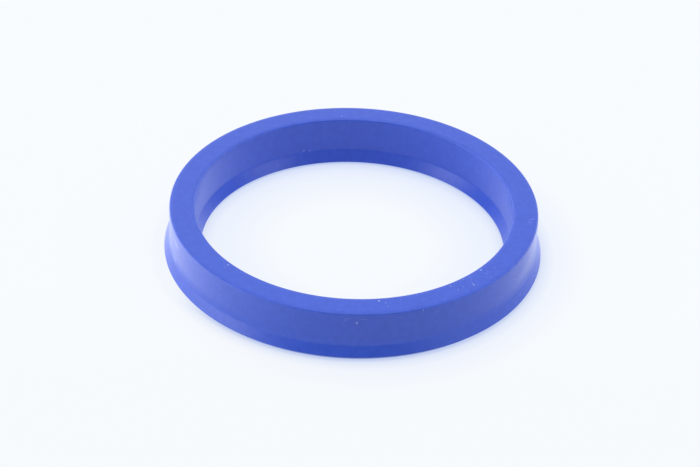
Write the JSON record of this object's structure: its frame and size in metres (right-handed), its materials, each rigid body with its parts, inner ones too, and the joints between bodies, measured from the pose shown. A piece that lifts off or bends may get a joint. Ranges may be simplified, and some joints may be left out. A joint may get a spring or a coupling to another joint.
{
  "type": "u cup seal",
  "caption": "Moulded U-cup seal ring with a flat solid heel and flared lips around a U-shaped groove, for a sliding rod or piston.",
  "frame": {"origin": "on the ring's axis, in the plane of the lip tips that the ring lies on", "axes": "+Z along the ring's axis, from the lip tips to the heel face; X and Y are free, as the ring is round"},
  "size_m": [0.072, 0.072, 0.0098],
  "materials": {
    "blue_polyurethane": "satin, with glossier walls"
  },
  "bodies": {
    "root": {"seal_ring": "blue_polyurethane"}
  },
  "joints": []
}
